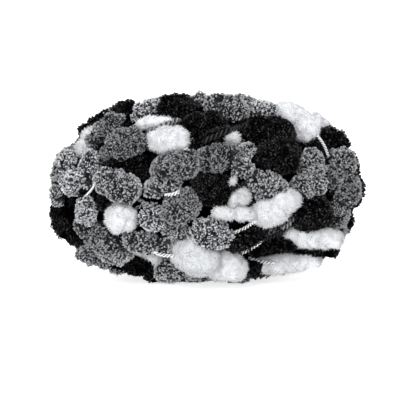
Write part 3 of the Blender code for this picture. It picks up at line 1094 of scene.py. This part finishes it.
@dataclass
class BinderThread:
    """The two-ply thread that the puffs are strung on, where it lies bare.

    Each ply is a round tube whose middle winds as a helix about the thread's
    own line, half a turn apart from the other ply. Stretches thicker than
    fuzzy_from are frayed, and so have fine wisps on them. ply is half a ply's
    thickness, offset its distance from the thread's line and lay the length of
    one turn. clear is the thread's height over the puffs, dive the depth of
    its ends in them and bend its sag across the view. from_puff tells where on
    a puff's half length a stretch of the other sides begins, bow and bow_from
    how it bulges, and gaps between which puffs there is one.
    """

    winding: Winding
    ply: float = 0.00056
    offset: float = 0.00068
    lay: float = 0.0046
    step: float = 0.00050
    long_step: float = 0.00075
    least_steps: int = 8
    sides: int = 6
    clear: float = 0.0012
    dive: float = 0.0022
    bend: float = 0.0009
    tightenings: int = 80
    from_puff: float = 0.7
    bow: float = 0.0015
    bow_from: float = 0.0042
    gaps: Span = (2.02, 2.35)
    # end_open is the painted shade level at the plies' end caps.
    end_open: float = 0.3
    fuzzy_from: float = 1.15
    fuzz: float = 0.50
    tone: float = 0.45

    def over_puffs(self, thread: Thread) -> np.ndarray:
        """The line of a measured stretch: taut over the puffs, its ends drawn in.

        The depth starts a little above the puffs and is then drawn tight: each
        point takes the mean of its neighbours unless a puff holds it up.

        Args:
            thread: the stretch's row in the table.

        Returns:
            The points of its line, from the middle of the ball.
        """
        start = np.array((thread.across, thread.up)) * MM
        end = np.array((thread.to_across, thread.to_up)) * MM
        count = max(int(np.linalg.norm(end - start) / self.step), self.least_steps)
        share = np.linspace(0.0, 1.0, count)[:, None]
        aside = unit(np.array((start[1] - end[1], end[0] - start[0])))
        bend = math.copysign(self.bend, thread.up) * np.sin(math.pi * share)
        place = start + (end - start) * share + aside * bend
        held = self.winding.front_depth(place[:, 0], place[:, 1]) + self.clear
        depth = held.copy()
        depth[[0, -1]] -= self.clear + self.dive
        for _ in range(self.tightenings):
            depth[1:-1] = np.maximum(held[1:-1], (depth[:-2] + depth[2:]) / 2.0)
            depth[[1, -2]] = (depth[[0, -1]] + depth[[2, -3]]) / 2.0
        return place[:, :1] * RIGHT + place[:, 1:] * VIEW_UP + depth[:, None] * TO_VIEWER

    def between(self, one: Shape, other: Shape) -> np.ndarray:
        """The line from the end of one puff to the near end of another, bowed outward.

        Args:
            one: the puff that it comes from.
            other: the puff that it runs to.

        Returns:
            The points of the line, from the middle of the ball.
        """
        apart = other.middle - one.middle
        first = math.copysign(one.halves[0] * self.from_puff, one.axes[0] @ apart)
        last = math.copysign(other.halves[0] * self.from_puff, other.axes[0] @ apart)
        start = one.middle + one.axes[0] * first
        end = other.middle - other.axes[0] * last
        out = unit(one.axes[2] + other.axes[2])
        count = max(int(np.linalg.norm(end - start) / self.long_step), self.least_steps)
        share = np.linspace(0.0, 1.0, count)[:, None]
        bow = np.sin(math.pi * share) * self.bow + self.bow_from
        return start + (end - start) * share + out * bow

    def plies(self, line: np.ndarray, out: np.ndarray, size: float) -> Tuple[Part, Roots]:
        """Both plies along a line.

        Args:
            line: points of the thread's own line.
            out: a direction well away from the line's own.
            size: thickness over the plain thread's.

        Returns:
            The two closed tubes, least open in the crease between them, which the
            level paints as shade, and roots for fuzz all over them.
        """
        tangent = unit(np.gradient(line, axis=0))
        side = unit(np.cross(tangent, out))
        rise = np.cross(side, tangent)
        run = np.concatenate(((0.0,), np.cumsum(np.linalg.norm(np.diff(line, axis=0), axis=1))))
        turn = np.linspace(0.0, 2.0 * math.pi, self.sides, endpoint=False)
        turn = turn[None, :, None]
        ring = side[:, None] * np.cos(turn) + rise[:, None] * np.sin(turn)
        parts, faces, opens, before = [], [], [], 0
        for start in (0.0, math.pi):
            angle = start + 2.0 * math.pi * run / (self.lay * size)
            away = side * np.cos(angle)[:, None] + rise * np.sin(angle)[:, None]
            middle = line + self.offset * size * away
            tube = (middle[:, None] + ring * self.ply * size).reshape(-1, 3)
            parts.append(np.concatenate((middle[:1], tube, middle[-1:])))
            # Painted shade: a ply lies less open, and so darker, where it faces the other ply.
            facing = np.einsum("nkj,nj->nk", ring, away).ravel()
            opens.append(np.concatenate(((self.end_open,), 0.5 + 0.5 * facing, (self.end_open,))))
            tube_face = tube_faces(len(line), self.sides)
            faces.append(np.where(tube_face < 0, -1, tube_face + before))
            before += len(parts[-1])
        points, open_air = np.concatenate(parts), np.concatenate(opens)
        normals = np.tile(np.concatenate((out[None], ring.reshape(-1, 3), out[None])), (2, 1))
        roots = Roots(points, normals, np.clip(open_air, 0.0, 1.0), normals)
        return (points, np.concatenate(faces), open_air), roots

    def build(self, materials: Dict[Shade, bpy.types.Material]) -> List[bpy.types.Object]:
        """Make one piece of thread for each shade.

        Args:
            materials: the finish of each shade's thread.

        Returns:
            The pieces.
        """
        pieces: Dict[Shade, PieceMesh] = {}
        tone = np.float64(self.tone)

        def lay_in(shade: Shade, line: np.ndarray, out: np.ndarray, size: float) -> None:
            """Add one stretch of thread, and its fuzz where it is frayed.

            Args:
                shade: the thread's shade.
                line: points of its line.
                out: a direction well away from the line's own.
                size: thickness over the plain thread's.
            """
            piece = pieces.setdefault(shade, PieceMesh(f"{shade.value}_binder_thread"))
            (points, faces, open_air), roots = self.plies(line, out, size)
            piece.add(points, faces, open_air=open_air, tone=tone)
            if size > self.fuzzy_from:
                locks = Locks(NAPS[G], np.random.default_rng(len(points)), self.fuzz * size)
                points, faces, open_air = locks.wisps(roots)
                piece.add(points, faces, open_air=open_air, tone=tone)

        for thread in THREADS:
            lay_in(thread.shade, self.over_puffs(thread), TO_VIEWER, thread.size)
        shapes = [shape for shape in self.winding.shapes if not shape.measured]
        for one, other in self.neighbours(shapes):
            out = unit(one.axes[2] + other.axes[2])
            lay_in(one.shade, self.between(one, other), out, 1.0)
        return [piece.build(materials[shade]) for shade, piece in pieces.items()]

    def neighbours(self, shapes: List[Shape]) -> List[Tuple[Shape, Shape]]:
        """Find the puffs of the other sides with a gap that the thread crosses.

        Args:
            shapes: the puffs of the other sides.

        Returns:
            Pairs of puffs, each puff in one pair at most.
        """
        pairs = []
        used = set()
        least, most = self.gaps
        for index, shape in enumerate(shapes):
            for later in range(index + 1, len(shapes)):
                gap = self.winding.spacing(shape, [shapes[later]])
                if least < gap < most and index not in used and later not in used:
                    pairs.append((shape, shapes[later]))
                    used |= {index, later}
        return pairs


@dataclass
class PieceMesh:
    """Arrays of one joined piece, gathered part by part."""

    name: str
    points: List[np.ndarray] = field(default_factory=list)
    faces: List[np.ndarray] = field(default_factory=list)
    values: Dict[str, List[np.ndarray]] = field(default_factory=dict)
    count: int = 0

    def add(self, points: np.ndarray, faces: np.ndarray, **values: np.ndarray) -> None:
        """Add a closed part, turned so that its faces point outward.

        The part's volume tells which way they point: the sum over its faces of
        the triple products of their corners, taken from the part's middle.

        Args:
            points: its points, one row each.
            faces: rows of four corners, with -1 last in a triangle.
            values: one number for each point, or one for all, by attribute name.
        """
        loop = points[np.where(faces < 0, faces[:, :1], faces)]
        origin = points.mean(0)
        corner = loop - origin
        swept = np.einsum("ij,ij->i", corner[:, 0], np.cross(corner[:, 1], corner[:, 2]))
        swept += np.einsum("ij,ij->i", corner[:, 0], np.cross(corner[:, 2], corner[:, 3]))
        if swept.sum() < 0.0:
            kept = faces[:, [2, 1, 0, 3]]
            quads = faces[:, [3, 2, 1, 0]]
            faces = np.where(faces[:, 3:4] < 0, kept, quads)
        self.points.append(points)
        self.faces.append(np.where(faces < 0, -1, faces + self.count))
        for key, value in values.items():
            self.values.setdefault(key, []).append(np.broadcast_to(value, len(points)))
        self.count += len(points)

    def build(self, material: bpy.types.Material) -> bpy.types.Object:
        """Make the joined mesh and its object, riding on the ball.

        Args:
            material: the finish of the piece.

        Returns:
            The object, at the origin.
        """
        points = np.concatenate(self.points)
        points = points + np.array((*SOLID_SHIFT, RADIUS - REST_SINK))
        points[:, 2] = np.maximum(points[:, 2], FLOOR_GAP)
        faces = np.concatenate(self.faces)
        sizes = np.where(faces[:, 3] < 0, 3, 4)
        corners = faces[faces >= 0]
        starts = np.concatenate(((0,), np.cumsum(sizes)[:-1]))
        mesh = bpy.data.meshes.new(self.name)
        mesh.vertices.add(len(points))
        mesh.vertices.foreach_set("co", points.astype(np.float32).ravel())
        mesh.loops.add(len(corners))
        mesh.loops.foreach_set("vertex_index", corners.astype(np.int32))
        mesh.polygons.add(len(sizes))
        mesh.polygons.foreach_set("loop_start", starts.astype(np.int32))
        mesh.polygons.foreach_set("loop_total", sizes.astype(np.int32))
        mesh.update(calc_edges=True)
        mesh.shade_smooth()
        for key, parts in self.values.items():
            layer = mesh.attributes.new(key, "FLOAT", "POINT")
            layer.data.foreach_set("value", np.concatenate(parts).astype(np.float32))
        mesh.materials.append(material)
        mesh.validate()
        piece = bpy.data.objects.new(self.name, mesh)
        bpy.context.scene.collection.objects.link(piece)
        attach(piece, "root")
        LOG.info("%s: %d triangles", self.name, int((sizes - 2).sum()))
        return piece


@dataclass
class NapShading:
    """Node group: fibre speckle, painted pit shade and tip highlight, fine height of the plush.

    The level is how open a point lies, plus the speckle times a fibre noise
    less one half. The colour goes from pit to nub as the level rises through
    one span, and from nub to tip through the other: the pit colour is painted
    shade in the pits and creases, the tip colour a painted highlight on the most
    open places. The tone then scales it, from the darkest of its shade to the
    palest.
    """

    name: str = "plush_nap_painted_shade"
    # The level spans through which the painted pit shade gives way to the nub colour, and the nub
    # to the painted tip highlight.
    pit_to_nub: Span = (0.14, 0.55)
    nub_to_tip: Span = (0.60, 1.10)
    tones: Span = (0.45, 1.60)
    fibre_detail: float = 3.0
    fibre_roughness: float = 0.65
    fibre_distortion: float = 1.6
    sockets: Tuple[Tuple[str, str, str], ...] = (
        ("Painted Shade Colour", "INPUT", "Color"),
        ("Nub Colour", "INPUT", "Color"),
        ("Painted Highlight Colour", "INPUT", "Color"),
        ("Fibre Scale", "INPUT", "Float"),
        ("Speckle", "INPUT", "Float"),
        ("Colour", "OUTPUT", "Color"),
        ("Height", "OUTPUT", "Float"),
    )
    tree: Optional[bpy.types.NodeTree] = None

    def node(self, kind: str, given: Inputs, **settings: str) -> bpy.types.Node:
        """Add a node to the group.

        Args:
            kind: the node's type.
            given: a socket to link or a value for each of its inputs.
            settings: its own settings, made before its inputs are looked up.

        Returns:
            The node.
        """
        node = self.tree.nodes.new(kind)
        for key, value in settings.items():
            setattr(node, key, value)
        for key, value in given.items():
            if isinstance(value, bpy.types.NodeSocket):
                self.tree.links.new(value, node.inputs[key])
            else:
                node.inputs[key].default_value = value
        return node

    def rise(self, value: bpy.types.NodeSocket, span: Span) -> bpy.types.NodeSocket:
        """A smooth step from 0 to 1 as a value rises through a span."""
        given = {"Value": value, "From Min": span[0], "From Max": span[1]}
        kind = "ShaderNodeMapRange"
        return self.node(kind, given, interpolation_type="SMOOTHSTEP").outputs["Result"]

    def mix(self, share: bpy.types.NodeSocket, low: bpy.types.NodeSocket,
            high: bpy.types.NodeSocket) -> bpy.types.NodeSocket:
        """A colour that goes from low to high as the share goes from 0 to 1."""
        given = {"Factor": share, "A": low, "B": high}
        return self.node("ShaderNodeMix", given, data_type="RGBA").outputs["Result"]

    def build(self) -> bpy.types.NodeTree:
        """Make the group with its named inputs and outputs.

        Returns:
            The group.
        """
        self.tree = bpy.data.node_groups.new(self.name, "ShaderNodeTree")
        for label, way, kind in self.sockets:
            self.tree.interface.new_socket(name=label, in_out=way, socket_type=f"NodeSocket{kind}")
        given = self.node("NodeGroupInput", {}).outputs
        place = self.node("ShaderNodeTexCoord", {}).outputs["Object"]
        fibre = self.node("ShaderNodeTexNoise", {
            "Vector": place, "Scale": given["Fibre Scale"], "Detail": self.fibre_detail,
            "Roughness": self.fibre_roughness, "Distortion": self.fibre_distortion}).outputs["Fac"]
        open_air = self.node("ShaderNodeAttribute", {}, attribute_name="open_air").outputs["Fac"]
        tone = self.node("ShaderNodeAttribute", {}, attribute_name="tone").outputs["Fac"]
        spread = self.node("ShaderNodeMath", {0: fibre, 1: given["Speckle"], 2: open_air},
                           operation="MULTIPLY_ADD").outputs[0]
        half = self.node("ShaderNodeMath", {0: given["Speckle"], 1: 0.5}, operation="MULTIPLY")
        level = self.node("ShaderNodeMath", {0: spread, 1: half.outputs[0]},
                          operation="SUBTRACT").outputs[0]
        base = self.mix(self.rise(level, self.pit_to_nub), given["Painted Shade Colour"], given["Nub Colour"])
        tip = self.mix(self.rise(level, self.nub_to_tip), base, given["Painted Highlight Colour"])
        low, high = self.tones
        shift = self.node("ShaderNodeMapRange", {"Value": tone, "To Min": low, "To Max": high})
        toned = self.node("ShaderNodeVectorMath", {0: tip, "Scale": shift.outputs["Result"]},
                          operation="SCALE")
        self.node("NodeGroupOutput", {"Colour": toned.outputs["Vector"], "Height": fibre})
        return self.tree


@dataclass(frozen=True)
class PlushFinish:
    """Finish of one shade of the yarn.

    pit, nub and tip are its colours from the deepest places to the most open
    ones: pit is painted shade for pits and creases, tip a painted highlight.
    The other fields are the shader's own values.
    """

    name: str
    pit: Triple
    nub: Triple
    tip: Triple
    fibre_scale: float
    speckle: float
    bump: float
    sheen: float
    specular: float
    bump_distance: float = 0.0006
    roughness: float = 0.95
    sheen_roughness: float = 0.5

    def build(self, group: bpy.types.NodeTree) -> bpy.types.Material:
        """Make the material.

        Args:
            group: the shared nap group.

        Returns:
            A Principled material whose colour and height come from the group.
        """
        material = bpy.data.materials.new(self.name)
        material.use_nodes = True
        nodes, links = material.node_tree.nodes, material.node_tree.links
        shader = nodes["Principled BSDF"]
        nap = nodes.new("ShaderNodeGroup")
        nap.node_tree = group
        bump = nodes.new("ShaderNodeBump")
        for node, socket, value in (
                (nap, "Painted Shade Colour", (*self.pit, 1.0)), (nap, "Nub Colour", (*self.nub, 1.0)),
                (nap, "Painted Highlight Colour", (*self.tip, 1.0)), (nap, "Fibre Scale", self.fibre_scale),
                (nap, "Speckle", self.speckle), (bump, "Strength", self.bump),
                (bump, "Distance", self.bump_distance), (shader, "Roughness", self.roughness),
                (shader, "Specular IOR Level", self.specular), (shader, "Sheen Weight", self.sheen),
                (shader, "Sheen Roughness", self.sheen_roughness)):
            node.inputs[socket].default_value = value
        links.new(nap.outputs["Height"], bump.inputs["Height"])
        links.new(bump.outputs["Normal"], shader.inputs["Normal"])
        links.new(nap.outputs["Colour"], shader.inputs["Base Color"])
        return material


# In each finish the pit colour is painted shade for the pits and creases, and the tip colour a
# painted highlight on the open tips.
FINISHES: Dict[Shade, PlushFinish] = {
    G: PlushFinish("grey_plush", (0.006, 0.006, 0.008), (0.352, 0.359, 0.373),
                   (0.515, 0.523, 0.538), 650.0, 0.50, 0.8, 0.05, 0.10),
    B: PlushFinish("black_plush", (0.0006, 0.0006, 0.0008), (0.0140, 0.0135, 0.0140),
                   (0.070, 0.068, 0.070), 650.0, 0.60, 0.8, 0.0, 0.01),
    W: PlushFinish("white_plush", (0.58, 0.59, 0.61), (0.650, 0.658, 0.672),
                   (0.705, 0.709, 0.715), 700.0, 0.70, 0.4, 0.05, 0.10),
}
# On the thread the pit colour is painted shade in the crease between the plies, and the tip colour
# a painted highlight where a ply stands most open.
THREAD_FINISHES: Dict[Shade, PlushFinish] = {
    G: PlushFinish("grey_thread", (0.030, 0.030, 0.034), (0.200, 0.205, 0.215),
                   (0.400, 0.406, 0.416), 1500.0, 0.5, 0.4, 0.0, 0.20),
    B: PlushFinish("black_thread", (0.003, 0.003, 0.004), (0.014, 0.014, 0.015),
                   (0.050, 0.050, 0.053), 1500.0, 0.5, 0.4, 0.0, 0.10),
    W: PlushFinish("white_thread", (0.30, 0.31, 0.33), (0.78, 0.785, 0.79),
                   (0.86, 0.86, 0.86), 1500.0, 0.3, 0.4, 0.0, 0.20),
}


@dataclass
class PuffLayer:
    """The puffs with their pile, joined into pieces by shade and by side.

    fine, plain and rough are the rows and columns of a puff's grid on the
    measured side, on the other sides and in the inner winding.
    """

    winding: Winding
    materials: Dict[Shade, bpy.types.Material]
    fine: Tuple[int, int] = (27, 30)
    plain: Tuple[int, int] = (21, 24)
    rough: Tuple[int, int] = (13, 14)
    back_tones: Span = (0.25, 0.65)
    # The inner winding's dark tone is painted shade for the gaps between the outer puffs.
    inner_painted_dark_tone: float = 0.15
    pieces: Dict[str, PieceMesh] = field(default_factory=dict)
    shades: Dict[str, Shade] = field(default_factory=dict)

    def side_of(self, shape: Shape) -> str:
        """Name of the quarter of the ball that a puff belongs to."""
        toward = "front" if shape.measured else "back"
        return f"{toward}_{'left' if shape.middle[0] < 0.0 else 'right'}"

    def piece_for(self, shade: Shade, what: str) -> PieceMesh:
        """Find or start the piece that parts of one shade and place are joined into.

        Args:
            shade: the shade.
            what: the rest of the piece's name.

        Returns:
            The piece.
        """
        name = f"{shade.value}_{what}"
        self.shades[name] = shade
        return self.pieces.setdefault(name, PieceMesh(name))

    def lay(self, plush: Plush, own: int, side: str, coarse: float, tone: float) -> None:
        """Add one puff and its pile to their pieces.

        Args:
            plush: the puff's surface.
            own: its place among the outer puffs, or -1 for an inner one.
            side: the part of the ball that its pieces are named for.
            coarse: spacing and size of its pile over the front's.
            tone: how pale it is in its shade.
        """
        shade = plush.shape.shade
        value = np.float64(tone)
        points, open_air = plush.make()
        faces = tube_faces(plush.rows - 1, plush.columns)
        self.piece_for(shade, f"puffs_{side}").add(points, faces, open_air=open_air, tone=value)
        for points, faces, open_air in PuffPile(plush, self.winding, own, coarse).build():
            self.piece_for(shade, f"pile_{side}").add(points, faces, open_air=open_air, tone=value)

    def build(self) -> List[bpy.types.Object]:
        """Make the pieces of the outer layer and of the inner one.

        Returns:
            The pieces.
        """
        for own, shape in enumerate(self.winding.shapes):
            side = self.side_of(shape)
            if shape.measured:
                self.lay(Plush(shape, own, *self.fine), own, side, 1.0, shape.tone)
            else:
                tone = np.random.default_rng(own + TONE_SEED).uniform(*self.back_tones)
                self.lay(Plush(shape, own, *self.plain), own, side, BACK_COARSENESS, tone)
        for index, shape in enumerate(self.winding.inner):
            plush = Plush(shape, INNER_SEED + index, *self.rough)
            self.lay(plush, -1, "inner", BACK_COARSENESS, self.inner_painted_dark_tone)
        return [piece.build(self.materials[self.shades[name]])
                for name, piece in self.pieces.items()]


class Softbox(NamedTuple):
    """A square soft light that faces the ball, in metres and watts."""

    name: str
    place: Triple
    size: float
    power: float


SOFTBOXES = (
    Softbox("key_softbox", (-0.5, -1.4, 1.6), 1.1, 27.0),
    Softbox("fill_softbox", (1.2, -1.6, 0.7), 1.3, 12.0),
    Softbox("low_softbox", (-0.9, -1.6, 0.25), 0.8, 7.0),
    Softbox("top_softbox", (0.2, 0.2, 1.9), 1.2, 20.0),
)


@dataclass
class Studio:
    """Floor, lights and camera of a plain product picture, in metres."""

    distance: float = 4.00
    lens: float = 571.4
    aim_across: float = -0.0047
    aim_up: float = -0.0076
    lit_height: float = 0.06
    floor_reach: float = 12.0
    floor_depth: float = 6.0
    floor_bend: float = 1.2
    floor_steps: int = 24
    wall_height: float = 5.0
    floor_colour: Tuple[float, ...] = (0.80, 0.80, 0.80, 1.0)
    floor_roughness: float = 0.9
    floor_glow: float = 0.70
    plain_white: Tuple[float, ...] = (1.0, 1.0, 1.0, 1.0)
    air_glow: float = 0.52

    def floor(self) -> None:
        """A pale floor that curves up behind into a backdrop.

        The profile is a straight run, a quarter circle and a straight rise,
        carried sideways.
        """
        turn = np.linspace(0.0, math.pi / 2.0, self.floor_steps)
        reach, far, bend = self.floor_reach, self.floor_depth, self.floor_bend
        depth = np.concatenate(((-reach,), far + bend * np.sin(turn), (far + bend,)))
        height = np.concatenate(((0.0,), bend * (1.0 - np.cos(turn)), (self.wall_height,)))
        rows = len(depth)
        points = [(side, depth[i], height[i]) for side in (-reach, reach) for i in range(rows)]
        faces = [(i, rows + i, rows + i + 1, i + 1) for i in range(rows - 1)]
        mesh = bpy.data.meshes.new("studio_floor")
        mesh.from_pydata(points, [], faces)
        mesh.shade_smooth()
        material = bpy.data.materials.new("pale_floor")
        material.use_nodes = True
        shader = material.node_tree.nodes["Principled BSDF"]
        shader.inputs["Base Color"].default_value = self.floor_colour
        shader.inputs["Roughness"].default_value = self.floor_roughness
        shader.inputs["Emission Color"].default_value = self.plain_white
        shader.inputs["Emission Strength"].default_value = self.floor_glow
        mesh.materials.append(material)
        floor = bpy.data.objects.new("studio_floor", mesh)
        bpy.context.scene.collection.objects.link(floor)

    def light(self, box: Softbox) -> None:
        """Add one soft light.

        Args:
            box: the light's row in the table.
        """
        data = bpy.data.lights.new(box.name, "AREA")
        data.shape = "SQUARE"
        data.size = box.size
        data.energy = box.power
        lamp = bpy.data.objects.new(box.name, data)
        lamp.location = box.place
        away = np.array(box.place) - np.array((0.0, 0.0, self.lit_height))
        lamp.rotation_euler = Vector(away).to_track_quat("Z", "Y").to_euler()
        bpy.context.scene.collection.objects.link(lamp)

    def air(self) -> None:
        """Set up the even light from all sides."""
        world = bpy.data.worlds.new("studio_air")
        world.use_nodes = True
        air = world.node_tree.nodes["Background"]
        air.inputs["Color"].default_value = self.plain_white
        air.inputs["Strength"].default_value = self.air_glow
        bpy.context.scene.world = world
        bpy.context.scene.view_settings.view_transform = "Standard"

    def camera(self) -> None:
        """Set the camera at the photograph's viewing angle."""
        centre = np.array((0.0, 0.0, RADIUS - REST_SINK))
        aim = centre + RIGHT * self.aim_across + VIEW_UP * self.aim_up
        data = bpy.data.cameras.new("camera")
        data.lens = self.lens
        data.clip_start, data.clip_end = 0.05, 30.0
        camera = bpy.data.objects.new("camera", data)
        camera.location = aim + TO_VIEWER * self.distance
        camera.rotation_euler = (math.pi / 2.0 - VIEW_RISE, 0.0, 0.0)
        bpy.context.scene.collection.objects.link(camera)
        bpy.context.scene.camera = camera

    def build(self) -> None:
        """Set up the whole studio."""
        self.floor()
        for box in SOFTBOXES:
            self.light(box)
        self.air()
        self.camera()


def main() -> None:
    """Build the ball's pieces, then the studio."""
    logging.basicConfig(level=logging.INFO, format="%(message)s")
    for thing in [o for o in bpy.data.objects if o.name in ("Cube", "Light", "Camera")]:
        bpy.data.objects.remove(thing, do_unlink=True)
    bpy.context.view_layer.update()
    winding = Winding()
    winding.wind()
    group = NapShading().build()
    materials = {shade: finish.build(group) for shade, finish in FINISHES.items()}
    thread_materials = {shade: finish.build(group) for shade, finish in THREAD_FINISHES.items()}
    pieces = PuffLayer(winding, materials).build()
    pieces += BinderThread(winding).build(thread_materials)
    for piece in pieces:
        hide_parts("wound_ball")
    Studio().build()


if __name__ == "__main__":
    main()
